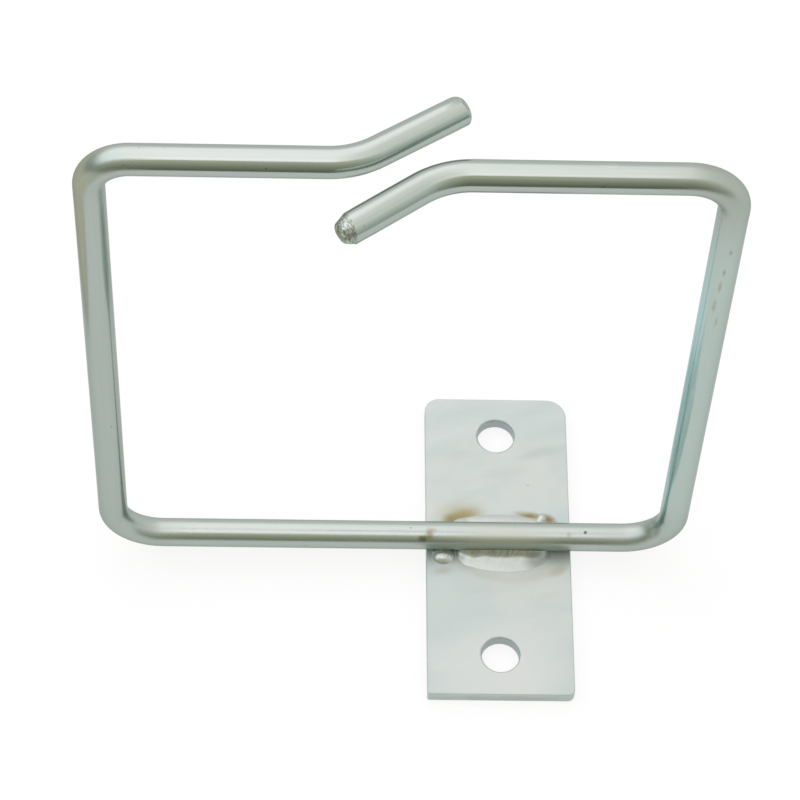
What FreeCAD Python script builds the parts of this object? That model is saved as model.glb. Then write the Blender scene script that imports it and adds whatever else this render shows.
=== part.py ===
import FreeCAD, Part
import math
import os

Vector = FreeCAD.Vector

# Cable management bracket: an open ring of bent round bar, welded across a flat plate with two holes.
# Millimetres. The origin is the centre of the plate's back face, which screws to a rail.
# +Z points away from the rail, +Y runs along the line of the holes, and +X along the foot of the ring.

# Mounting plate: a sheared strip of flat steel, its corners ground round by hand
plate_width = 25.6
plate_length = 60.0
plate_thickness = 2.5
corner_radius_far_left = 2.6
corner_radius_far_right = 3.6
corner_radius_near_right = 1.2
corner_radius_near_left = 0.4
edge_break = 0.2

# Fixing holes: clearance for M6, one rack unit apart
hole_diameter = 6.6
hole_spacing = 44.45

# Ring: one length of round bar, measured to the centre line of the bar
bar_diameter = 5.0
ring_width = 98.0
ring_height = 110.5
ring_offset = -18.8
right_side_lean = 0.6
arm_offset = 1.0
foot_bend_radius = 8.5
left_arm_bend_radius = 6.5
right_arm_bend_radius = 7.5

# Ends of the ring: bent away from each other in the plane of the arms, so that they pass with a slanting gap
left_bend_from_side = 39.9
left_end_angle = 32.0
left_end_length = 19.8
left_end_taper = 1.2
right_bend_from_side = 44.2
right_end_angle = 35.3
right_end_length = 19.1
right_end_taper = 1.8
end_bend_radius = 14.0
tip_face_diameter = 3.3
tip_rounding = 0.4

# Weld beads: a row of puddles each side of the bar, which leave the crevice under it open
puddle_count = 5
puddle_pitch = 2.3
puddle_radius = 3.4
puddle_end_drop = 0.7
bead_reach = 1.9
front_bead_shift = 0.9
rear_bead_shift = -0.1
weld_root = 1.0

# Spatter: a drop caught under the front of the bar, and a pearl on the plate behind it
drop_radius = 1.8
drop_along = -9.8
drop_reach = 2.3
drop_height = 1.2
pearl_radius = 0.8
pearl_along = 7.8
pearl_reach = 5.4
pearl_height = 0.3

bar_radius = bar_diameter / 2
bar_axis_height = plate_thickness + bar_radius
arm_height = bar_axis_height + ring_height
left_side = ring_offset - ring_width / 2
right_side = ring_offset + ring_width / 2
right_side_top = right_side - right_side_lean


def rounded_wire(points, radii, closed):
    """A wire of straight runs through the points, with a tangent arc of the given radius at each corner."""
    edges = []
    count = len(points)
    first, last = (0, count) if closed else (1, count - 1)
    run_start = None if closed else points[0]
    loop_start = None
    for i in range(first, last):
        corner = points[i]
        to_previous = (points[i - 1] - corner).normalize()
        to_next = (points[(i + 1) % count] - corner).normalize()
        half_angle = to_previous.getAngle(to_next) / 2
        tangent_length = radii[i] / math.tan(half_angle)
        arc_start = corner + to_previous * tangent_length
        arc_end = corner + to_next * tangent_length
        bisector = (to_previous + to_next).normalize()
        arc_middle = corner + bisector * (radii[i] / math.sin(half_angle) - radii[i])
        if run_start is None:
            loop_start = arc_start
        else:
            edges.append(Part.LineSegment(run_start, arc_start).toShape())
        edges.append(Part.Arc(arc_start, arc_middle, arc_end).toShape())
        run_start = arc_end
    edges.append(Part.LineSegment(run_start, loop_start if closed else points[-1]).toShape())
    return Part.Wire(edges)


def mounting_plate():
    half_width = plate_width / 2
    half_length = plate_length / 2
    corners = [
        Vector(-half_width, -half_length, 0),
        Vector(half_width, -half_length, 0),
        Vector(half_width, half_length, 0),
        Vector(-half_width, half_length, 0),
    ]
    radii = [
        corner_radius_near_left,
        corner_radius_near_right,
        corner_radius_far_right,
        corner_radius_far_left,
    ]
    plate = Part.Face(rounded_wire(corners, radii, closed=True)).extrude(Vector(0, 0, plate_thickness))
    for hole_y in (-hole_spacing / 2, hole_spacing / 2):
        plate = plate.cut(Part.makeCylinder(hole_diameter / 2, plate_thickness, Vector(0, hole_y, 0)))
    rims = [edge for edge in plate.Edges if edge.BoundBox.ZLength < plate_thickness / 2]
    return plate.makeChamfer(edge_break, rims)


def level_direction(angle_deg):
    """The direction at an angle to +X, parallel to the plate."""
    angle = math.radians(angle_deg)
    return Vector(math.cos(angle), math.sin(angle), 0)


def ground_tip(base, direction, taper):
    """The cone ground on an end of the bar, with its nose rounded over."""
    cone = Part.makeCone(bar_radius, tip_face_diameter / 2, taper, base, direction)
    nose = max(cone.Faces, key=lambda face: (face.CenterOfMass - base).dot(direction))
    return cone.makeFillet(tip_rounding, nose.Edges)


def cable_ring():
    left_bend = Vector(left_side + left_bend_from_side, arm_offset, arm_height)
    right_bend = Vector(right_side_top - right_bend_from_side, -arm_offset, arm_height)
    left_direction = level_direction(left_end_angle)
    right_direction = level_direction(180 + right_end_angle)
    left_end = left_bend + left_direction * (left_end_length - left_end_taper)
    right_end = right_bend + right_direction * (right_end_length - right_end_taper)
    route = [
        left_end,
        left_bend,
        Vector(left_side, arm_offset, arm_height),
        Vector(left_side, 0, bar_axis_height),
        Vector(right_side, 0, bar_axis_height),
        Vector(right_side_top, -arm_offset, arm_height),
        right_bend,
        right_end,
    ]
    side_bends = [left_arm_bend_radius, foot_bend_radius, foot_bend_radius, right_arm_bend_radius]
    path = rounded_wire(route, [0, end_bend_radius, *side_bends, end_bend_radius, 0], closed=False)
    section = Part.Wire(Part.makeCircle(bar_radius, left_end, left_direction))
    bar = path.makePipeShell([section], True, False)
    left_tip = ground_tip(left_end, left_direction, left_end_taper)
    right_tip = ground_tip(right_end, right_direction, right_end_taper)
    return bar.multiFuse([left_tip, right_tip]).removeSplitter()


def foot_of_ring():
    """The straight run of the bar that lies across the plate."""
    return Part.makeCylinder(bar_radius, ring_width, Vector(left_side, 0, bar_axis_height), Vector(1, 0, 0))


def weld_bead(shift):
    """A bead of overlapping puddles along the rear of the bar, its middle shifted along the bar."""
    middle = (puddle_count - 1) / 2
    puddles = []
    for i in range(puddle_count):
        radius = puddle_radius - puddle_end_drop * ((i - middle) / middle) ** 2
        centre = Vector(shift + (i - middle) * puddle_pitch, bead_reach, plate_thickness)
        puddles.append(Part.makeSphere(radius, centre))
    bead = puddles[0].multiFuse(puddles[1:])
    length = (puddle_count + 1) * puddle_pitch + 2 * puddle_radius
    width = bead_reach + 2 * puddle_radius
    corner = Vector(shift - length / 2, weld_root, plate_thickness)
    above_plate = Part.makeBox(length, width, 2 * puddle_radius, corner)
    return bead.common(above_plate).cut(foot_of_ring()).removeSplitter()


def weld_spatter():
    plate_block = Part.makeBox(plate_width, plate_length, plate_thickness)
    plate_block.translate(Vector(-plate_width / 2, -plate_length / 2, 0))
    drop = Part.makeSphere(drop_radius, Vector(drop_along, -drop_reach, plate_thickness + drop_height))
    pearl = Part.makeSphere(pearl_radius, Vector(pearl_along, pearl_reach, plate_thickness + pearl_height))
    settled = [ball.cut(plate_block).cut(foot_of_ring()) for ball in (drop, pearl)]
    return Part.makeCompound([solid for shape in settled for solid in shape.Solids])


nodes = {
    "mounting_plate": mounting_plate(),
    "cable_ring": cable_ring(),
    "weld_bead_front": weld_bead(front_bead_shift).mirror(Vector(0, 0, 0), Vector(0, 1, 0)),
    "weld_bead_rear": weld_bead(rear_bead_shift),
    "weld_spatter": weld_spatter(),
}

os.makedirs("parts", exist_ok=True)
for name, shape in nodes.items():
    shape.exportStep(os.path.join("parts", name + ".step"))
    print(name, "solids", len(shape.Solids), "valid", shape.isValid(), "volume", round(shape.Volume, 1))
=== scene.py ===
import math

import bmesh
import bpy
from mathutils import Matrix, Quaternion, Vector


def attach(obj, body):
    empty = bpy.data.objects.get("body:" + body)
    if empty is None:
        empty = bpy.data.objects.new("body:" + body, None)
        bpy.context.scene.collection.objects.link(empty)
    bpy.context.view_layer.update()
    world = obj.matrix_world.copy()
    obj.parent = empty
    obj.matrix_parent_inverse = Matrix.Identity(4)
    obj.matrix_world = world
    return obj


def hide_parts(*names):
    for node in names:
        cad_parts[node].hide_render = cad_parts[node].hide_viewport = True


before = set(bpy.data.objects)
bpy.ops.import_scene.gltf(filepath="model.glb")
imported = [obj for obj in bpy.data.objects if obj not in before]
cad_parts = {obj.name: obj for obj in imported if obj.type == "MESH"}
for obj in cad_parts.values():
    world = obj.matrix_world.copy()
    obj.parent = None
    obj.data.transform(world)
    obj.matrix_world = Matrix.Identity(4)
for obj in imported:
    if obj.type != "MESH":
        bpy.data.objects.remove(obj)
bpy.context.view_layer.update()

# Mounting plate
# A strip of flat mild steel, sheared to length, its corners ground round and its two screw holes punched.
# It is zinc plated after welding, so one satin skin covers its faces, broken edges and hole walls.
mm = 0.001
plate_width = 25.6 * mm
plate_length = 60.0 * mm
plate_thickness = 2.5 * mm
plate_corners = {(-1, 1): 2.6 * mm, (1, 1): 3.6 * mm, (1, -1): 1.2 * mm, (-1, -1): 0.4 * mm}
corner_segments = 12
edge_break = 0.25 * mm
edge_break_segments = 3
hole_diameter = 6.6 * mm
hole_spacing = 44.45 * mm
hole_sides = 64
punch_depth = 4 * plate_thickness
punch_roll_over = 0.35 * mm
roll_over_segments = 4
touching = 0.02 * mm


def select_where(kind, test):
    """In edit mode, selects the VERT, EDGE or FACE elements that pass the test, and nothing else."""
    bpy.ops.mesh.select_mode(type=kind)
    bpy.ops.mesh.select_all(action="DESELECT")
    data = bpy.context.object.data
    shape = bmesh.from_edit_mesh(data)
    for element in {"VERT": shape.verts, "EDGE": shape.edges, "FACE": shape.faces}[kind]:
        if test(element):
            element.select_set(True)
    shape.select_flush_mode()
    bmesh.update_edit_mesh(data)


def apply_modifier(piece, kind, **settings):
    """Adds a modifier to the active piece with its settings, and applies it."""
    modifier = piece.modifiers.new(kind.lower(), kind)
    for name, value in settings.items():
        setattr(modifier, name, value)
    bpy.ops.object.modifier_apply(modifier=modifier.name)


bpy.ops.object.select_all(action="DESELECT")
bpy.ops.mesh.primitive_cube_add(
    size=1,
    location=(0, 0, plate_thickness / 2),
    scale=(plate_width, plate_length, plate_thickness),
)
plate = bpy.context.object
plate.name = "mounting_plate_strip"
bpy.ops.object.transform_apply(location=True, rotation=True, scale=True)
bpy.ops.object.mode_set(mode="EDIT")
for (side, end), radius in plate_corners.items():
    corner = Vector((side * plate_width / 2, end * plate_length / 2, 0))
    select_where("EDGE", lambda edge: all((vert.co - corner).xy.length < touching for vert in edge.verts))
    bpy.ops.mesh.bevel(offset=radius, segments=corner_segments, affect="EDGES")
bpy.ops.object.mode_set(mode="OBJECT")

for end in (-1, 1):
    bpy.ops.object.select_all(action="DESELECT")
    bpy.ops.mesh.primitive_cylinder_add(
        vertices=hole_sides,
        radius=hole_diameter / 2,
        depth=punch_depth,
        location=(0, end * hole_spacing / 2, 0),
    )
    punch = bpy.context.object
    bpy.context.view_layer.objects.active = plate
    apply_modifier(plate, "BOOLEAN", operation="DIFFERENCE", object=punch, solver="EXACT")
    bpy.data.objects.remove(punch)


def rims_a_hole_in_front(edge):
    return all(
        abs(math.hypot(vert.co.x, abs(vert.co.y) - hole_spacing / 2) - hole_diameter / 2) < touching
        and vert.co.z > plate_thickness - touching
        for vert in edge.verts
    )


# The punch goes in from the front and draws the rims down
bpy.ops.object.mode_set(mode="EDIT")
select_where("EDGE", rims_a_hole_in_front)
bpy.ops.mesh.bevel(offset=punch_roll_over, segments=roll_over_segments, affect="EDGES")
bpy.ops.object.mode_set(mode="OBJECT")
apply_modifier(
    plate,
    "BEVEL",
    width=edge_break,
    segments=edge_break_segments,
    limit_method="ANGLE",
    angle_limit=math.radians(40),
)
bpy.ops.object.select_all(action="DESELECT")
plate.select_set(True)
bpy.ops.object.shade_smooth_by_angle(angle=math.radians(35))
apply_modifier(plate, "WEIGHTED_NORMAL", keep_sharp=True)


def linear(colour):
    """A colour written as sRGB hex, turned to linear RGBA."""
    channels = [int(colour[i:i + 2], 16) / 255 for i in (1, 3, 5)]
    return (*[c / 12.92 if c <= 0.04045 else ((c + 0.055) / 1.055) ** 2.4 for c in channels], 1.0)


def add_node(tree, kind, inputs=None, **settings):
    """Adds a node with its settings, and links or sets its inputs, by name or by number."""
    node = tree.nodes.new("ShaderNode" + kind)
    for name, value in settings.items():
        setattr(node, name, value)
    for name, value in (inputs or {}).items():
        if isinstance(value, bpy.types.NodeSocket):
            tree.links.new(value, node.inputs[name])
        else:
            node.inputs[name].default_value = value
    return node


def empty_material(name):
    material = bpy.data.materials.new(name)
    material.use_nodes = True
    material.node_tree.nodes.clear()
    return material


def oval_share(tree, place, middle, half_size, turn, inner, strength):
    """How far a soft oval covers a place: its strength inside, falling to nothing at its rim."""
    oval = add_node(
        tree,
        "Mapping",
        {
            "Vector": place,
            "Location": Vector(middle) * mm,
            "Rotation": (0, 0, math.radians(turn)),
            "Scale": Vector(half_size) * mm,
        },
        vector_type="TEXTURE",
    )
    reach = add_node(tree, "VectorMath", {0: oval.outputs["Vector"]}, operation="LENGTH")
    share = add_node(
        tree,
        "MapRange",
        {"Value": reach.outputs["Value"], "From Min": inner, "To Min": strength, "To Max": 0.0},
        interpolation_type="SMOOTHSTEP",
    )
    return share.outputs["Result"]


def ragged_place(tree, place, size, reach):
    """The place, pushed about by noise of the given size, so that the laid-over ovals have ragged rims."""
    push = add_node(tree, "TexNoise", {"Vector": place, "Scale": 1 / size, "Detail": 3.0})
    middle_grey = (0.5, 0.5, 0.5)
    centred = add_node(tree, "VectorMath", {0: push.outputs["Color"], 1: middle_grey}, operation="SUBTRACT")
    pushed = add_node(
        tree,
        "VectorMath",
        {0: centred.outputs["Vector"], 1: (2 * reach, 2 * reach, 2 * reach), 2: place},
        operation="MULTIPLY_ADD",
    )
    return pushed.outputs["Vector"]


def overlaid(tree, colour, place, ovals):
    """A colour with soft ovals laid over it: stains, and in places painted shade and painted highlights.

    A row gives middle and half sizes in mm, turn in degrees, inner share, strength and colour.
    """
    for middle, half_size, turn, inner, strength, oval_colour in ovals:
        share = oval_share(tree, place, middle, half_size, turn, inner, strength)
        layer = add_node(
            tree,
            "Mix",
            {"Factor": share, "A": colour, "B": linear(oval_colour)},
            data_type="RGBA",
        )
        colour = layer.outputs["Result"]
    return colour


# Zinc plating with a blue-white passivate over rolled flat steel: a pale, faintly cool satin metal.
# Its skin is partly chalky, so the plate looks almost even, with slanting smears from rinsing and handling.
# Welding left brown oxide under the plating, close round the beads. The front edge, the hole walls and the
# plate beside the bar's foot are painted darker as shade.
satin_zinc = empty_material("satin_zinc_plating")
tree = satin_zinc.node_tree
place = add_node(tree, "TexCoord").outputs["Object"]
smear_size = Vector((20.0, 5.0, 20.0)) * mm
smear_turn = math.radians(18)
smear_space = add_node(
    tree,
    "Mapping",
    {"Vector": place, "Rotation": (0, 0, smear_turn), "Scale": smear_size},
    vector_type="TEXTURE",
)
smears = add_node(
    tree,
    "TexNoise",
    {"Vector": smear_space.outputs["Vector"], "Scale": 1.0, "Detail": 4.0, "Roughness": 0.55},
)
smear_share = add_node(
    tree,
    "MapRange",
    {"Value": smears.outputs["Fac"], "From Min": 0.38, "From Max": 0.62},
)
cool_skin = add_node(
    tree,
    "Mix",
    {"Factor": smear_share.outputs["Result"], "A": linear("#AFBCB8"), "B": linear("#B9C4C0")},
    data_type="RGBA",
)
chalk_size = 14.0 * mm
chalk = add_node(tree, "TexNoise", {"Vector": place, "Scale": 1 / chalk_size, "Detail": 3.0})
chalk_share = add_node(
    tree,
    "MapRange",
    {"Value": chalk.outputs["Fac"], "From Min": 0.48, "From Max": 0.66, "To Max": 0.8},
)
chalky_skin = add_node(
    tree,
    "Mix",
    {"Factor": chalk_share.outputs["Result"], "A": cool_skin.outputs["Result"], "B": linear("#BCC3BD")},
    data_type="RGBA",
)
front = plate_thickness / mm
plate_marks_and_painted_shade = [
    # Paler near end, and painted shade on the front edge and the hole walls
    ((0.0, -25.0, front), (17.0, 11.0, 2), 0, 0.3, 0.6, "#C4CAC6"),
    ((0.0, -30.4, 1.0), (20.0, 0.6, 1.6), 0, 0.7, 0.5, "#9FACA6"),
    ((0.0, 22.2, 0.0), (3.8, 3.8, 20), 0, 0.87, 0.4, "#8B97A0"),
    ((0.0, -22.2, 0.0), (3.8, 3.8, 20), 0, 0.87, 0.4, "#8B97A0"),
    # Grey smears of handling
    ((8.0, 18.7, front), (6.8, 1.5, 2), 18, 0.1, 0.4, "#A2ACA7"),
    ((-7.0, 18.2, front), (4.0, 1.9, 2), 12, 0.1, 0.35, "#A4ACA5"),
    ((1.5, 14.6, front), (6.0, 1.8, 2), 12, 0.1, 0.3, "#A7AEA8"),
    ((8.7, -10.6, front), (3.2, 0.9, 2), 12, 0.2, 0.25, "#B4B59C"),
    ((-0.5, -9.2, front), (8.5, 1.5, 2), 4, 0.1, 0.25, "#ABB3AA"),
    # Ring of heat round the front bead, pale within
    ((2.4, -1.2, front), (11.8, 7.7, 2), 0, 0.76, 0.4, "#A5A791"),
    ((2.4, -1.2, front), (10.6, 6.5, 2), 0, 0.8, 0.75, "#B3BEB8"),
    # Painted shade on the plate beside the bar's foot, right of the front bead
    ((10.3, -3.6, front), (2.8, 1.8, 2), -20, 0.3, 0.3, "#A3B2AE"),
    # Brown spots beside the bead
    ((-10.0, -5.7, front), (2.4, 1.1, 2), 5, 0.1, 0.45, "#A09D86"),
    ((10.6, -5.5, front), (2.8, 1.3, 2), 33, 0.1, 0.5, "#9C9880"),
    # Brown oxide at both ends of the rear bead
    ((-6.6, 5.7, front), (6.3, 4.2, 2), 8, 0.0, 0.8, "#A3A380"),
    ((-6.4, 5.2, front), (4.9, 2.4, 2), 18, 0.0, 0.9, "#8B8150"),
    ((-8.4, 4.6, front), (2.2, 1.7, 2), 32, 0.0, 0.8, "#82784A"),
    ((5.8, 5.6, front), (3.9, 1.2, 2), -9, 0.0, 1.0, "#837A4A"),
    ((9.1, 4.9, front), (2.3, 1.4, 2), -36, 0.0, 1.0, "#796F40"),
    # A small grey mark
    ((5.6, 12.0, front), (0.45, 0.4, 2), 0, 0.2, 0.4, "#8E978F"),
]
plate_mark_and_shade_place = ragged_place(tree, place, 2.5 * mm, 0.35 * mm)
plate_colour = overlaid(tree, chalky_skin.outputs["Result"], plate_mark_and_shade_place, plate_marks_and_painted_shade)
plate_roughness = add_node(
    tree,
    "MapRange",
    {"Value": smears.outputs["Fac"], "From Min": 0.3, "From Max": 0.7, "To Min": 0.4, "To Max": 0.5},
)
skin_grain = 0.35 * mm
grain_depth = 0.02 * mm
grain = add_node(tree, "TexNoise", {"Vector": place, "Scale": 1 / skin_grain, "Detail": 2.0})
plate_bump = add_node(
    tree,
    "Bump",
    {"Strength": 0.25, "Distance": grain_depth, "Height": grain.outputs["Fac"]},
)
plate_skin = add_node(
    tree,
    "BsdfPrincipled",
    {
        "Base Color": plate_colour,
        "Metallic": 0.55,
        "Roughness": plate_roughness.outputs["Result"],
        "Normal": plate_bump.outputs["Normal"],
    },
)
add_node(tree, "OutputMaterial", {"Surface": plate_skin.outputs["BSDF"]})
plate.data.materials.append(satin_zinc)
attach(plate, "root")
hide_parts("mounting_plate")

# Cable ring
# One length of drawn mild steel bar, its ends ground to blunt cones, bent cold six times into an open ring.
# Its foot is welded across the plate and plated with it, and its two arms spring a little out of line.
bar_diameter = 5.0 * mm
bar_sides = 64
ring_left = -67.8 * mm
ring_right = 30.2 * mm
ring_right_at_top = 29.6 * mm
foot_height = 5.0 * mm
arm_height = 115.5 * mm
arm_offset = 1.0 * mm
foot_bend_radius = 8.5 * mm
left_arm_bend_radius = 6.5 * mm
right_arm_bend_radius = 7.5 * mm
end_bend_radius = 14.0 * mm
left_end_bend = Vector((-27.9 * mm, arm_offset, arm_height))
left_end_angle = math.radians(32.0)
left_end_length = 18.6 * mm
right_end_bend = Vector((-14.6 * mm, -arm_offset, arm_height))
right_end_angle = math.radians(180 + 35.3)
right_end_length = 17.05 * mm
bend_steps = 14
straight_piece = 3.0 * mm
merge_distance = 0.001 * mm
bar_radius = bar_diameter / 2

left_outward = Vector((math.cos(left_end_angle), math.sin(left_end_angle), 0))
right_outward = Vector((math.cos(right_end_angle), math.sin(right_end_angle), 0))
ring_route = [
    left_end_bend + left_outward * left_end_length,
    left_end_bend,
    Vector((ring_left, arm_offset, arm_height)),
    Vector((ring_left, 0, foot_height)),
    Vector((ring_right, 0, foot_height)),
    Vector((ring_right_at_top, -arm_offset, arm_height)),
    right_end_bend,
    right_end_bend + right_outward * right_end_length,
]
ring_bends = [
    end_bend_radius,
    left_arm_bend_radius,
    foot_bend_radius,
    foot_bend_radius,
    right_arm_bend_radius,
    end_bend_radius,
]

bpy.ops.object.select_all(action="DESELECT")
first_turn = (-left_outward).to_track_quat("Z", "Y")
bpy.ops.mesh.primitive_circle_add(
    vertices=bar_sides,
    radius=bar_radius,
    fill_type="NOTHING",
    location=ring_route[0],
    rotation=first_turn.to_euler(),
)
ring = bpy.context.object
ring.name = "cable_ring_bar"
bpy.ops.object.transform_apply(location=True, rotation=True, scale=True)
bpy.ops.object.mode_set(mode="EDIT")
bpy.ops.mesh.select_all(action="SELECT")

# Each vertex keeps its place on the bar before bending, so that drawing streaks follow the bends
ring_shape = bmesh.from_edit_mesh(ring.data)
straight_bar = ring_shape.verts.layers.float_vector.new("straight_bar")
for vert in ring_shape.verts:
    vert[straight_bar] = first_turn.inverted() @ (vert.co - ring_route[0])


def run_on(length):
    """Carries the unbent length on to the section of the bar that is selected."""
    shape = bmesh.from_edit_mesh(ring.data)
    layer = shape.verts.layers.float_vector["straight_bar"]
    for vert in shape.verts:
        if vert.select:
            vert[layer] = vert[layer] + Vector((0, 0, length))
    bmesh.update_edit_mesh(ring.data)


def draw_out(step, sense=1):
    """Extrudes the selected section of the bar by a step, and counts its length up or down."""
    bpy.ops.mesh.extrude_region_move(TRANSFORM_OT_translate={"value": step})
    run_on(sense * step.length)


def draw_straight(run):
    """Draws the bar out straight in short pieces, so that its shading runs true into the bends."""
    pieces = math.ceil(run.length / straight_piece)
    for _ in range(pieces):
        draw_out(run / pieces)


reached = ring_route[0]
bar_length = 0.0
bend_spans = []
for corner_index, bend_radius in enumerate(ring_bends, start=1):
    corner = ring_route[corner_index]
    along = (corner - ring_route[corner_index - 1]).normalized()
    onward = (ring_route[corner_index + 1] - corner).normalized()
    bend_angle = along.angle(onward)
    bend_start = corner - along * bend_radius * math.tan(bend_angle / 2)
    bend_axis = along.cross(onward).normalized()
    bend_centre = bend_start + bend_axis.cross(along) * bend_radius
    draw_straight(bend_start - reached)
    bar_length += (bend_start - reached).length
    bend_spans.append((bar_length, bar_length + bend_radius * bend_angle))
    bar_length += bend_radius * bend_angle
    for _ in range(bend_steps):
        # The spin tool counts its angle the other way round its axis
        bpy.ops.mesh.spin(steps=1, angle=-bend_angle / bend_steps, center=bend_centre, axis=bend_axis)
        run_on(bend_radius * bend_angle / bend_steps)
    reached = corner + onward * bend_radius * math.tan(bend_angle / 2)
draw_straight(ring_route[-1] - reached)
bar_length += (ring_route[-1] - reached).length

# Ground tips, in millimetres: steps along the bar, with the radius that the bar is drawn in to at each.
# The first section is slanted, and the ones after it turn square again.
right_tip = [
    (0.04, 2.47), (0.46, 2.24), (0.5, 2.01), (0.45, 1.8),
    (0.3, 1.62), (0.17, 1.3), (0.09, 0.9), (0.04, 0.4),
]
right_tip_slant = math.radians(-11.0)
left_tip = [
    (0.06, 2.47), (0.3, 2.36), (0.3, 2.16), (0.26, 1.86),
    (0.16, 1.5), (0.08, 1.1), (0.03, 0.7), (0.01, 0.3),
]
left_tip_slant = math.radians(8.0)
tip_sections_slanted = 5
grinding_roughness = 0.035 * mm
rough_past_shoulder = 0.42 * mm
tip_reach = 5 * mm


def turn_section(angle, middle):
    """Turns the selected section about an upright line through its middle."""
    # With no window the tool turns the other way
    bpy.ops.transform.rotate(value=-angle, orient_axis="Z", center_override=middle)


def grind_tip(middle, outward, sections, slant, sense):
    """Draws the selected open end of the bar in to a blunt nose with a slanting shoulder, and closes it."""
    radius = bar_radius
    turn_section(slant, middle)
    for i, (length, next_radius) in enumerate(sections):
        step = outward * length * mm
        draw_out(step, sense)
        middle = middle + step
        share = next_radius * mm / radius
        bpy.ops.transform.resize(value=(share, share, share), center_override=middle)
        if i < tip_sections_slanted:
            turn_section(-slant / tip_sections_slanted, middle)
        radius = next_radius * mm
    bpy.ops.mesh.edge_face_add()


grind_tip(ring_route[-1], right_outward, right_tip, right_tip_slant, 1)
select_where("EDGE", lambda edge: edge.is_boundary)
grind_tip(ring_route[0], left_outward, left_tip, left_tip_slant, -1)
bpy.ops.mesh.select_all(action="SELECT")
bpy.ops.mesh.remove_doubles(threshold=merge_distance)
bpy.ops.mesh.normals_make_consistent(inside=False)


def on_right_tip(vert):
    """Past the shoulder of the tip, which the grinder left rough."""
    from_end = vert.co - ring_route[-1]
    return from_end.length < tip_reach and from_end.dot(right_outward) > rough_past_shoulder


select_where("VERT", on_right_tip)
bpy.ops.transform.vertex_random(offset=grinding_roughness, uniform=0.0, normal=0.6, seed=4)
bpy.ops.object.mode_set(mode="OBJECT")
bpy.ops.object.select_all(action="DESELECT")
ring.select_set(True)
bpy.ops.object.shade_smooth_by_angle(angle=math.radians(30))

# Bright zinc over drawn bar: a semi-gloss metal that mirrors the studio in crisp bands along the bar.
# Drawing leaves fine streaks along it and the plating small pits, and the heat of the weld dulled the foot.
# The ground tips keep their coarse scratches under the plating. The highlight on the upper side of the right
# end is dimmed with painted shade, and a small dimple on the right arm has a painted highlight.
drawn_zinc = empty_material("zinc_plated_drawn_bar")
tree = drawn_zinc.node_tree
place = add_node(tree, "TexCoord").outputs["Object"]
unbent = add_node(tree, "Attribute", attribute_name="straight_bar").outputs["Vector"]
along_bar = add_node(tree, "SeparateXYZ", {"Vector": unbent}).outputs["Z"]
streak_size = Vector((0.3, 0.3, 18.0)) * mm
streak_space = add_node(tree, "Mapping", {"Vector": unbent, "Scale": streak_size}, vector_type="TEXTURE")
streaks = add_node(tree, "TexNoise", {"Vector": streak_space.outputs["Vector"], "Scale": 1.0, "Detail": 3.0})
streaked = add_node(
    tree,
    "Mix",
    {"Factor": streaks.outputs["Fac"], "A": linear("#A5B0A9"), "B": linear("#B0BAB4")},
    data_type="RGBA",
)

# Pits in the plating, drawn two or three times as wide as real ones so that they show
pit_spacing = 2.4 * mm
pits = add_node(tree, "TexVoronoi", {"Vector": unbent, "Scale": 1 / pit_spacing})
pit_core = add_node(
    tree,
    "MapRange",
    {"Value": pits.outputs["Distance"], "From Min": 0.04, "From Max": 0.1, "To Min": 1.0, "To Max": 0.0},
)
pit_pick = add_node(tree, "SeparateXYZ", {"Vector": pits.outputs["Color"]})
pit_chosen = add_node(
    tree,
    "MapRange",
    {"Value": pit_pick.outputs["X"], "From Min": 0.55, "From Max": 0.9, "To Max": 0.55},
)
pit_share = add_node(
    tree,
    "Math",
    {0: pit_core.outputs["Result"], 1: pit_chosen.outputs["Result"]},
    operation="MULTIPLY",
)
pitted = add_node(
    tree,
    "Mix",
    {"Factor": pit_share.outputs["Value"], "A": streaked.outputs["Result"], "B": linear("#6B6A58")},
    data_type="RGBA",
)
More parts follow.
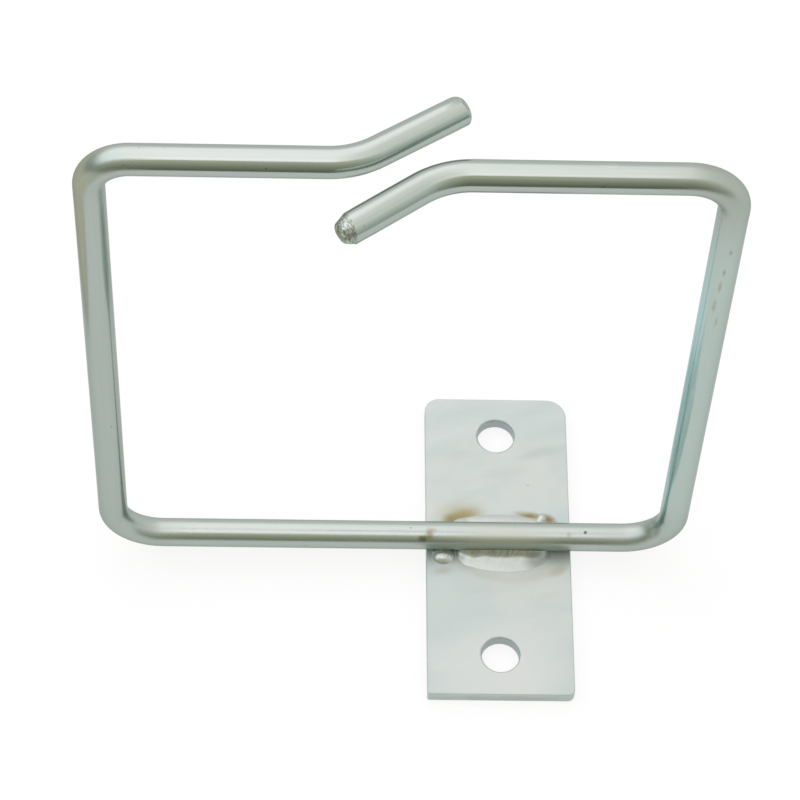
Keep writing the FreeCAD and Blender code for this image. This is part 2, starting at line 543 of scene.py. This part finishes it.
bar_marks_and_painted_light = [
    # Paler, bluer right side
    ((29.9, 0.0, 60.0), (6.0, 6.0, 60.0), 0, 0.75, 0.9, "#B3C2BB"),
    ((27.9, -0.6, 60.0), (2.4, 3.0, 62.0), 0, 0.3, 0.9, "#BCDFE4"),
    # Foot at the weld and upper right bend
    ((0.5, -1.5, 5.0), (13.0, 4.5, 4.5), 0, 0.3, 0.7, "#BABFB1"),
    ((27.0, -1.0, 114.0), (12.0, 6.0, 10.0), 0, 0.3, 0.25, "#A4A68F"),
    # Painted shade on the upper side of the right end, dimming its highlight
    ((-21.9, -5.6, 118.0), (9.5, 1.6, 1.6), 35, 0.4, 0.2, "#98A39B"),
    # Olive flecks on the foot, left of the weld
    ((-12.4, -1.0, 7.2), (1.2, 1.7, 1.2), 0, 0.1, 0.7, "#78754A"),
    ((-13.6, -1.7, 6.8), (1.2, 0.8, 1.0), 0, 0.1, 0.8, "#64613F"),
    # Rust flecks down the right side
    ((29.6, -3.2, 94.0), (0.4, 1.3, 1.4), 0, 0.1, 0.6, "#857F63"),
    ((29.4, -3.1, 90.0), (0.4, 1.3, 2.2), 0, 0.1, 0.55, "#8A8468"),
    ((29.1, -3.0, 84.5), (0.4, 1.3, 2.8), 0, 0.1, 0.5, "#8A8468"),
    ((30.0, -3.3, 99.5), (0.4, 1.3, 1.2), 0, 0.1, 0.5, "#857F63"),
    ((29.9, -3.0, 80.0), (0.4, 1.3, 2.0), 0, 0.1, 0.4, "#8F8A70"),
    # An oval mark on the right arm, a small dimple that is not modelled: the pale ring is the painted
    # highlight round its rim
    ((10.0, -0.45, 118.0), (1.8, 0.6, 0.6), 0, 0.5, 0.3, "#C9D0C9"),
    ((10.0, -0.45, 118.0), (1.4, 0.4, 0.6), 0, 0.5, 0.7, "#ABB6AF"),
    # Small specks on the foot, and one deep pit
    ((-11.6, -0.3, 7.4), (0.8, 0.7, 0.6), 0, 0.1, 0.35, "#8B8169"),
    ((12.2, -1.0, 7.3), (0.7, 0.9, 0.6), 0, 0.1, 0.45, "#8F8468"),
    ((15.1, -0.4, 7.5), (0.45, 0.45, 0.45), 0, 0.3, 0.9, "#4E4735"),
]
bar_mark_and_light_place = ragged_place(tree, place, 0.8 * mm, 0.25 * mm)
bar_with_marks_and_painted_light = overlaid(tree, pitted.outputs["Result"], bar_mark_and_light_place, bar_marks_and_painted_light)

shoulder_edge = 0.06 * mm
on_right_end = add_node(
    tree,
    "MapRange",
    {"Value": along_bar, "From Min": bar_length, "From Max": bar_length + shoulder_edge},
)
on_left_end = add_node(
    tree,
    "MapRange",
    {"Value": along_bar, "From Min": 0.0, "From Max": -shoulder_edge, "To Max": 0.6},
)
ground = add_node(
    tree,
    "Math",
    {0: on_right_end.outputs["Result"], 1: on_left_end.outputs["Result"]},
    operation="MAXIMUM",
)
scratch_size = Vector((0.7, 0.7, 0.2)) * mm
scratch_depth = 0.07 * mm
scratch_space = add_node(tree, "Mapping", {"Vector": unbent, "Scale": scratch_size}, vector_type="TEXTURE")
scratches = add_node(
    tree,
    "TexNoise",
    {"Vector": scratch_space.outputs["Vector"], "Scale": 1.0, "Detail": 3.0},
)
scratch_share = add_node(
    tree,
    "MapRange",
    {"Value": scratches.outputs["Fac"], "From Min": 0.36, "From Max": 0.6},
)
ground_colour = add_node(
    tree,
    "Mix",
    {"Factor": scratch_share.outputs["Result"], "A": linear("#787D6C"), "B": linear("#BEC8C4")},
    data_type="RGBA",
)
bar_colour = add_node(
    tree,
    "Mix",
    {"Factor": ground.outputs["Value"], "A": bar_with_marks_and_painted_light, "B": ground_colour.outputs["Result"]},
    data_type="RGBA",
)

# Heat dulled the skin at the weld and a little along the foot, and bending in the four corners of the ring
bend_fade = 7.0 * mm
bend_dulling = 0.15
heat_dulled = oval_share(tree, place, (0.5, -1.0, 5.0), (14.0, 6.0, 6.0), 0, 0.3, 0.16)
foot_dulled = oval_share(tree, place, (-18.8, 0.0, 5.0), (62.0, 7.0, 7.0), 0, 0.7, 0.09)
dulled = add_node(tree, "Math", {0: heat_dulled, 1: foot_dulled}, operation="ADD")
for bend_start, bend_end in bend_spans[1:5]:
    before, after = [
        add_node(
            tree,
            "MapRange",
            {"Value": along_bar, "From Min": clear, "From Max": full, "To Max": bend_dulling},
            interpolation_type="SMOOTHSTEP",
        )
        for clear, full in (
            (bend_start - bend_fade, bend_start + bend_fade / 2),
            (bend_end + bend_fade, bend_end - bend_fade / 2),
        )
    ]
    bend_dulled = add_node(
        tree,
        "Math",
        {0: before.outputs["Result"], 1: after.outputs["Result"]},
        operation="MINIMUM",
    )
    dulled = add_node(
        tree,
        "Math",
        {0: dulled.outputs["Value"], 1: bend_dulled.outputs["Value"]},
        operation="ADD",
    )
streak_roughness = add_node(
    tree,
    "MapRange",
    {"Value": streaks.outputs["Fac"], "From Min": 0.3, "From Max": 0.7, "To Min": 0.15, "To Max": 0.19},
)
drawn_roughness = add_node(
    tree,
    "Math",
    {0: streak_roughness.outputs["Result"], 1: dulled.outputs["Value"]},
    operation="ADD",
)
ground_roughness = 0.38
bar_roughness = add_node(
    tree,
    "Mix",
    {"Factor": ground.outputs["Value"], "A": drawn_roughness.outputs["Value"], "B": ground_roughness},
)
streak_depth = 0.006 * mm
streak_bump = add_node(
    tree,
    "Bump",
    {"Strength": 0.08, "Distance": streak_depth, "Height": streaks.outputs["Fac"]},
)
bar_bump = add_node(
    tree,
    "Bump",
    {
        "Strength": ground.outputs["Value"],
        "Distance": scratch_depth,
        "Height": scratches.outputs["Fac"],
        "Normal": streak_bump.outputs["Normal"],
    },
)
bar_skin = add_node(
    tree,
    "BsdfPrincipled",
    {
        "Base Color": bar_colour.outputs["Result"],
        "Metallic": 1.0,
        "Roughness": bar_roughness.outputs["Result"],
        "Specular Tint": linear("#CED3D0"),
        "Normal": bar_bump.outputs["Normal"],
    },
)
add_node(tree, "OutputMaterial", {"Surface": bar_skin.outputs["BSDF"]})
ring.data.materials.append(drawn_zinc)
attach(ring, "root")
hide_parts("cable_ring")

# Weld beads and spatter
# Arc weld metal laid in overlapping puddles each side of the bar's foot, with a drop and a pearl of spatter.
# The puddles wet the plate in flat aprons and climb the bar, and all is plated over, bright and uneven.
pool_grain = 0.15 * mm
blob_segments = 48
blob_rings = 24
# Blobs of weld metal in millimetres: middle, with its height above the plate, half sizes, slant in degrees.
# A wide flat apron wets the plate, slanting puddles stand a little proud of it, and a mound climbs the bar.
front_bead = [
    ((0.95, -2.25, -2.2), (14.1, 5.95, 2.75), 0),
    ((-4.9, -2.4, -1.9), (1.6, 3.9, 2.48), -28),
    ((-2.0, -2.5, -1.9), (2.1, 4.5, 2.56), -33),
    ((0.6, -2.5, -1.9), (1.5, 4.8, 2.6), -30),
    ((2.9, -2.5, -1.9), (2.0, 4.8, 2.6), -40),
    ((5.6, -2.4, -1.9), (1.6, 4.5, 2.5), -36),
    ((-3.9, -1.0, -0.3), (3.5, 2.2, 2.4), 0),
    ((0.7, -1.0, -0.3), (7.2, 2.3, 2.6), 0),
    ((5.3, -1.0, -0.3), (3.5, 2.2, 2.4), 0),
]
rear_bead = [
    ((0.15, 3.4, -2.2), (14.0, 4.05, 2.75), 0),
    ((-6.3, 3.3, -1.2), (2.6, 2.5, 1.72), 0),
    ((6.5, 3.3, -1.2), (2.5, 2.5, 1.72), 0),
    ((-0.1, 1.5, 0), (6.6, 1.7, 2.4), 0),
]
drop = [((-9.8, -2.45, -1.1), (2.4, 2.3, 2.15), 0)]
pearl = [
    ((7.9, 5.3, -1.2), (1.15, 1.35, 1.58), 20),
    ((7.4, 4.6, -1.2), (1.1, 1.2, 1.5), 0),
]
# How many times each is smoothed as it flows
front_flow = 110
rear_flow = 50
drop_flow = 5
pearl_flow = 8


def weld_metal(name, blobs, flow):
    """Runs blobs together into weld metal that flows smooth, cut off at the plate and at the bar."""
    bpy.ops.object.select_all(action="DESELECT")
    for i, (middle, half_size, slant) in enumerate(blobs):
        bpy.ops.mesh.primitive_uv_sphere_add(
            segments=blob_segments,
            ring_count=blob_rings,
            radius=1,
            location=Vector(middle) * mm + Vector((0, 0, plate_thickness)),
            rotation=(0, 0, math.radians(slant)),
            scale=Vector(half_size) * mm,
        )
        if i == 0:
            weld = bpy.context.object
            weld.name = name
            bpy.ops.object.transform_apply(location=True, rotation=True, scale=True)
            # The other blobs are added in edit mode, into the same mesh
            bpy.ops.object.mode_set(mode="EDIT")
    bpy.ops.object.mode_set(mode="OBJECT")
    apply_modifier(weld, "REMESH", mode="VOXEL", voxel_size=pool_grain)
    apply_modifier(weld, "SMOOTH", factor=0.5, iterations=flow)
    bpy.ops.object.mode_set(mode="EDIT")
    bpy.ops.mesh.select_all(action="SELECT")
    bpy.ops.mesh.bisect(
        plane_co=(0, 0, plate_thickness),
        plane_no=(0, 0, 1),
        use_fill=True,
        clear_inner=True,
        threshold=merge_distance,
    )
    bpy.ops.mesh.select_all(action="SELECT")
    bpy.ops.mesh.normals_make_consistent(inside=False)
    bpy.ops.object.mode_set(mode="OBJECT")
    apply_modifier(weld, "BOOLEAN", operation="DIFFERENCE", object=ring, solver="EXACT")
    bpy.ops.object.shade_smooth_by_angle(angle=math.radians(50))
    return weld


# Weld metal plated over: bright and smooth where it wets the plate, with a fine skin of ripples.
# Where it climbs the bar it is painted a mottled grey-brown that darkens towards the bar, as shade where
# bead and bar meet, and its right third is painted darker as shade too.
plated_weld = empty_material("zinc_plated_weld_metal")
tree = plated_weld.node_tree
place = add_node(tree, "TexCoord").outputs["Object"]
cloud_size = 1.1 * mm
clouds = add_node(tree, "TexNoise", {"Vector": place, "Scale": 1 / cloud_size, "Detail": 3.0})
clouded = add_node(
    tree,
    "Mix",
    {"Factor": clouds.outputs["Fac"], "A": linear("#B2BBB5"), "B": linear("#BFC6C1")},
    data_type="RGBA",
)
# Painted shade where the weld climbs the bar: mottled grey-brown, from nothing at the first height above the
# plate to full at the second
painted_shade_begins = 0.25 * mm
painted_shade_full = 1.6 * mm
height = add_node(tree, "SeparateXYZ", {"Vector": place}).outputs["Z"]
climb = add_node(
    tree,
    "MapRange",
    {"Value": height, "From Min": plate_thickness + painted_shade_begins, "From Max": plate_thickness + painted_shade_full},
    interpolation_type="SMOOTHSTEP",
)
mottle_size = Vector((0.5, 1.7, 0.8)) * mm
mottle_turn = math.radians(-33)
mottle_space = add_node(
    tree,
    "Mapping",
    {"Vector": place, "Rotation": (0, 0, mottle_turn), "Scale": mottle_size},
    vector_type="TEXTURE",
)
mottle = add_node(tree, "TexNoise", {"Vector": mottle_space.outputs["Vector"], "Scale": 1.0, "Detail": 3.0})
mottle_share = add_node(
    tree,
    "MapRange",
    {"Value": mottle.outputs["Fac"], "From Min": 0.36, "From Max": 0.62, "To Min": 0.2},
)
painted_shade_share = add_node(
    tree,
    "Math",
    {0: climb.outputs["Result"], 1: mottle_share.outputs["Result"]},
    operation="MULTIPLY",
)
weld_with_painted_shade = add_node(
    tree,
    "Mix",
    {"Factor": painted_shade_share.outputs["Value"], "A": clouded.outputs["Result"], "B": linear("#918F7C")},
    data_type="RGBA",
)
# Painted shade: the right third of the front bead is darker
weld_painted_shade = [
    ((7.0, -3.6, front + 0.7), (3.4, 3.2, 3.0), 0, 0.2, 0.85, "#8A9287"),
]
weld_shade_place = ragged_place(tree, place, 1.0 * mm, 0.3 * mm)
weld_colour = overlaid(tree, weld_with_painted_shade.outputs["Result"], weld_shade_place, weld_painted_shade)
# The drop froze on its own, smoother than the beads
drop_share = oval_share(tree, place, (-9.8, -2.3, front), (3.0, 3.0, 3.0), 0, 0.8, 1.0)
weld_roughness = add_node(tree, "MapRange", {"Value": drop_share, "To Min": 0.36, "To Max": 0.22})
ripple_spacing = 1.2 * mm
ripple_depth = 0.03 * mm
ripple_turn = math.radians(-22)
ripple_space = add_node(
    tree,
    "Mapping",
    {"Vector": place, "Rotation": (0, 0, ripple_turn)},
    vector_type="TEXTURE",
)
# At scale 1 the wave texture repeats every pi / 10
ripples = add_node(
    tree,
    "TexWave",
    {
        "Vector": ripple_space.outputs["Vector"],
        "Scale": math.pi / (10 * ripple_spacing),
        "Distortion": 4.0,
        "Detail": 2.0,
    },
)
ripple_strength = add_node(tree, "MapRange", {"Value": drop_share, "To Min": 0.4, "To Max": 0.05})
weld_bump = add_node(
    tree,
    "Bump",
    {
        "Strength": ripple_strength.outputs["Result"],
        "Distance": ripple_depth,
        "Height": ripples.outputs["Fac"],
    },
)
weld_skin = add_node(
    tree,
    "BsdfPrincipled",
    {
        "Base Color": weld_colour,
        "Metallic": 0.75,
        "Roughness": weld_roughness.outputs["Result"],
        "Normal": weld_bump.outputs["Normal"],
    },
)
add_node(tree, "OutputMaterial", {"Surface": weld_skin.outputs["BSDF"]})
for name, node, blobs, flow in (
    ("weld_front", "weld_bead_front", front_bead, front_flow),
    ("weld_rear", "weld_bead_rear", rear_bead, rear_flow),
    ("weld_drop", "weld_spatter", drop, drop_flow),
    ("weld_pearl", "weld_spatter", pearl, pearl_flow),
):
    weld = weld_metal(name, blobs, flow)
    weld.data.materials.append(plated_weld)
    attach(weld, "root")
    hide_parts(node)

# Studio floor
# A white table top whose front edge runs at a slant, out of the picture.
# Most of what the eye sees of it is plain white, and the rest is paint that keeps a soft shadow.
floor_front = -182 * mm
floor_depth = 3200 * mm
floor_width = 5000 * mm
floor_turn = math.radians(36)
floor_drop = 0.05 * mm
plain_white_share = 0.82


def seen_directly(tree):
    """1 where the camera or a mirroring metal sees a surface, and 0 where the surface only gives light."""
    ray = add_node(tree, "LightPath")
    seen = ray.outputs["Is Camera Ray"]
    for kind in ("Is Glossy Ray", "Is Transmission Ray"):
        seen = add_node(tree, "Math", {0: seen, 1: ray.outputs[kind]}, operation="MAXIMUM").outputs["Value"]
    return seen


floor_middle = Vector((-math.sin(floor_turn), math.cos(floor_turn), 0)) * floor_depth / 2
bpy.ops.object.select_all(action="DESELECT")
bpy.ops.mesh.primitive_plane_add(
    size=1,
    location=floor_middle + Vector((0, floor_front, -floor_drop)),
    rotation=(0, 0, floor_turn),
)
floor = bpy.context.object
floor.name = "floor"
floor.scale = (floor_width, floor_depth, 1)
bpy.ops.object.transform_apply(location=True, rotation=True, scale=True)
white_table = empty_material("white_table")
tree = white_table.node_tree
white_share = add_node(tree, "Math", {0: seen_directly(tree), 1: plain_white_share}, operation="MULTIPLY")
paint = add_node(tree, "BsdfDiffuse", {"Color": linear("#F6F6F6")})
white = add_node(tree, "Emission", {"Color": linear("#FFFFFF"), "Strength": 1.0})
table_top = add_node(
    tree,
    "MixShader",
    {"Fac": white_share.outputs["Value"], 1: paint.outputs["BSDF"], 2: white.outputs["Emission"]},
)
add_node(tree, "OutputMaterial", {"Surface": table_top.outputs["Shader"]})
floor.data.materials.append(white_table)

# Softbox
# A wide white diffuser overhead and behind, brightest on the left, with a cooler patch at its front left.
# It is the main light, and the camera never sees it.
softbox_height = 1000 * mm
softbox_front = -585 * mm
softbox_back = 2300 * mm
softbox_half_width = 1500 * mm
core_edge = -60 * mm
outer_edge = 260 * mm
core_radiance = 1.9
outer_radiance = 1.34


def stage_panel(name, low, high):
    """A flat panel of the studio that fills a box with one side of no depth, seen in reflections only."""
    size = high - low
    turn = (0, 0, 0)
    sides = (size.x, size.y, 1)
    if size.x == 0:
        turn = (0, math.radians(90), 0)
        sides = (size.z, size.y, 1)
    elif size.y == 0:
        turn = (math.radians(90), 0, 0)
        sides = (size.x, size.z, 1)
    bpy.ops.object.select_all(action="DESELECT")
    bpy.ops.mesh.primitive_plane_add(size=1, location=(low + high) / 2, rotation=turn)
    panel = bpy.context.object
    panel.name = name
    panel.scale = sides
    bpy.ops.object.transform_apply(location=True, rotation=True, scale=True)
    panel.visible_camera = False
    return panel


softbox = stage_panel(
    "softbox",
    Vector((-softbox_half_width, softbox_front, softbox_height)),
    Vector((softbox_half_width, softbox_back, softbox_height)),
)
diffuser = empty_material("lit_diffuser")
tree = diffuser.node_tree
place = add_node(tree, "TexCoord").outputs["Object"]
along = add_node(tree, "SeparateXYZ", {"Vector": place})
beyond_core = add_node(
    tree,
    "MapRange",
    {"Value": along.outputs["X"], "From Min": core_edge, "From Max": outer_edge},
    interpolation_type="SMOOTHSTEP",
)
core = add_node(
    tree,
    "MapRange",
    {"Value": beyond_core.outputs["Result"], "To Min": core_radiance, "To Max": outer_radiance},
)
# Each changes the radiance to a share of it, along one axis, from where it begins to where it is full
right_fade, front_rise, back_fade = [
    add_node(
        tree,
        "MapRange",
        {"Value": along.outputs[axis], "From Min": begins, "From Max": full, "To Min": 1.0, "To Max": share},
    )
    for axis, begins, full, share in (
        ("X", outer_edge, 800 * mm, 0.8),
        ("Y", -150 * mm, -400 * mm, 1.1),
        ("Y", 900 * mm, softbox_back, 0.62),
    )
]
toward_left = add_node(
    tree,
    "MapRange",
    {"Value": along.outputs["X"], "From Min": -250 * mm, "From Max": -550 * mm},
)
toward_front = add_node(
    tree,
    "MapRange",
    {"Value": along.outputs["Y"], "From Min": 600 * mm, "From Max": 200 * mm},
)
cool_share = add_node(
    tree,
    "Math",
    {0: toward_left.outputs["Result"], 1: toward_front.outputs["Result"]},
    operation="MULTIPLY",
)
cool_fade = add_node(tree, "MapRange", {"Value": cool_share.outputs["Value"], "To Min": 1.0, "To Max": 0.94})
radiance = core.outputs["Result"]
for change in (right_fade, front_rise, back_fade, cool_fade):
    dimmed = add_node(tree, "Math", {0: radiance, 1: change.outputs["Result"]}, operation="MULTIPLY")
    radiance = dimmed.outputs["Value"]
warm_white = add_node(
    tree,
    "Mix",
    {"Factor": beyond_core.outputs["Result"], "A": linear("#FFF5FA"), "B": linear("#FFFAF9")},
    data_type="RGBA",
)
softbox_white = add_node(
    tree,
    "Mix",
    {"Factor": cool_share.outputs["Value"], "A": warm_white.outputs["Result"], "B": linear("#F6FAFF")},
    data_type="RGBA",
)
glow = add_node(tree, "Emission", {"Color": softbox_white.outputs["Result"], "Strength": radiance})
add_node(tree, "OutputMaterial", {"Surface": glow.outputs["Emission"]})
softbox.data.materials.append(diffuser)

# Dark card
# An olive card on the camera's side, that the metal mirrors in its dark bands.
# It is dimmest low down, and paler on the right.
card_left = -1500 * mm
card_right = 1700 * mm
card_place = -1000 * mm
card_low = -300 * mm
card_high = 1900 * mm
card = stage_panel(
    "dark_card", Vector((card_left, card_place, card_low)), Vector((card_right, card_place, card_high))
)
dim_card = empty_material("dim_card")
tree = dim_card.node_tree
place = add_node(tree, "TexCoord").outputs["Object"]
across = add_node(tree, "SeparateXYZ", {"Vector": place})
# The left and right of the card grow brighter upwards, each between two heights
dim_rise, pale_rise = [
    add_node(
        tree,
        "MapRange",
        {"Value": across.outputs["Z"], "From Min": low, "From Max": high, "To Min": dim, "To Max": bright},
    )
    for low, high, dim, bright in (
        (-150 * mm, 1070 * mm, 0.19, 0.7),
        (0.0, 1400 * mm, 0.62, 1.0),
    )
]
toward_right = add_node(
    tree,
    "MapRange",
    {"Value": across.outputs["X"], "From Min": 200 * mm, "From Max": 1250 * mm},
)
card_radiance = add_node(
    tree,
    "Mix",
    {
        "Factor": toward_right.outputs["Result"],
        "A": dim_rise.outputs["Result"],
        "B": pale_rise.outputs["Result"],
    },
)
card_colour = add_node(
    tree,
    "Mix",
    {"Factor": toward_right.outputs["Result"], "A": linear("#FFFCE1"), "B": linear("#F9FFF7")},
    data_type="RGBA",
)
glow = add_node(
    tree,
    "Emission",
    {"Color": card_colour.outputs["Result"], "Strength": card_radiance.outputs["Result"]},
)
add_node(tree, "OutputMaterial", {"Surface": glow.outputs["Emission"]})
card.data.materials.append(dim_card)

# Side card
# A green-grey card low on the left, dim at the front.
# The upper left bend of the ring mirrors it on its outer side.
side_card_high = 700 * mm
side_card = stage_panel(
    "side_card", Vector((card_left, card_place, card_low)), Vector((card_left, softbox_back, side_card_high))
)
grey_card = empty_material("green_grey_card")
tree = grey_card.node_tree
place = add_node(tree, "TexCoord").outputs["Object"]
deep = add_node(tree, "SeparateXYZ", {"Vector": place})
grey_rise = add_node(
    tree,
    "MapRange",
    {
        "Value": deep.outputs["Y"],
        "From Min": -200 * mm,
        "From Max": 1200 * mm,
        "To Min": 0.36,
        "To Max": 0.62,
    },
)
glow = add_node(tree, "Emission", {"Color": linear("#F3FFED"), "Strength": grey_rise.outputs["Result"]})
add_node(tree, "OutputMaterial", {"Surface": glow.outputs["Emission"]})
side_card.data.materials.append(grey_card)

# Olive sheet
# A sheet of olive paper on the table, left of the picture, that the left side of the ring mirrors.
# It is greyer along its edge, and it neither tints nor shades the table.
sheet_edge = -118 * mm
sheet_edge_width = 10 * mm
sheet_far = -1500 * mm
sheet_front = -250 * mm
sheet_back = 500 * mm
sheet_height = 0.5 * mm
sheet = stage_panel(
    "olive_sheet",
    Vector((sheet_far, sheet_front, sheet_height)),
    Vector((sheet_edge, sheet_back, sheet_height)),
)
sheet.visible_diffuse = False
sheet.visible_shadow = False
olive_paper = empty_material("olive_paper")
tree = olive_paper.node_tree
place = add_node(tree, "TexCoord").outputs["Object"]
inward = add_node(tree, "SeparateXYZ", {"Vector": place})
past_edge = add_node(
    tree,
    "MapRange",
    {"Value": inward.outputs["X"], "From Min": sheet_edge, "From Max": sheet_edge - sheet_edge_width},
)
paper_colour = add_node(
    tree,
    "Mix",
    {"Factor": past_edge.outputs["Result"], "A": linear("#CECECB"), "B": linear("#F1E8D3")},
    data_type="RGBA",
)
glow = add_node(tree, "Emission", {"Color": paper_colour.outputs["Result"], "Strength": 1.0})
add_node(tree, "OutputMaterial", {"Surface": glow.outputs["Emission"]})
sheet.data.materials.append(olive_paper)

# White surroundings
# Plain white all round, as bright in the metal as to the camera, and weaker as a light.
light_level = 0.65
surroundings = bpy.data.worlds.new("white_surroundings")
surroundings.use_nodes = True
tree = surroundings.node_tree
tree.nodes.clear()
white_level = add_node(tree, "MapRange", {"Value": seen_directly(tree), "To Min": light_level})
sky = add_node(tree, "Background", {"Color": linear("#FFFFFF"), "Strength": white_level.outputs["Result"]})
add_node(tree, "OutputWorld", {"Surface": sky.outputs["Background"]})
bpy.context.scene.world = surroundings

# Camera
# It stands in front of the plate and looks down at it, a little rolled, with a long lens.
aim = Vector((-18.27, 12.86, 29.5)) * mm
camera_distance = 586.13 * mm
camera_azimuth = math.radians(-3.30)
camera_elevation = math.radians(58.145)
camera_roll = math.radians(3.582)
sensor_width_mm = 36.0
lens_mm = 152.85
back = Vector((
    math.sin(camera_azimuth) * math.cos(camera_elevation),
    -math.cos(camera_azimuth) * math.cos(camera_elevation),
    math.sin(camera_elevation),
))
facing = back.to_track_quat("Z", "Y") @ Quaternion((0, 0, 1), camera_roll)
bpy.ops.object.select_all(action="DESELECT")
bpy.ops.object.camera_add(location=aim + back * camera_distance, rotation=facing.to_euler())
camera = bpy.context.object
camera.data.sensor_width = sensor_width_mm
camera.data.lens = lens_mm
bpy.context.scene.camera = camera
bpy.context.scene.view_settings.view_transform = "Standard"
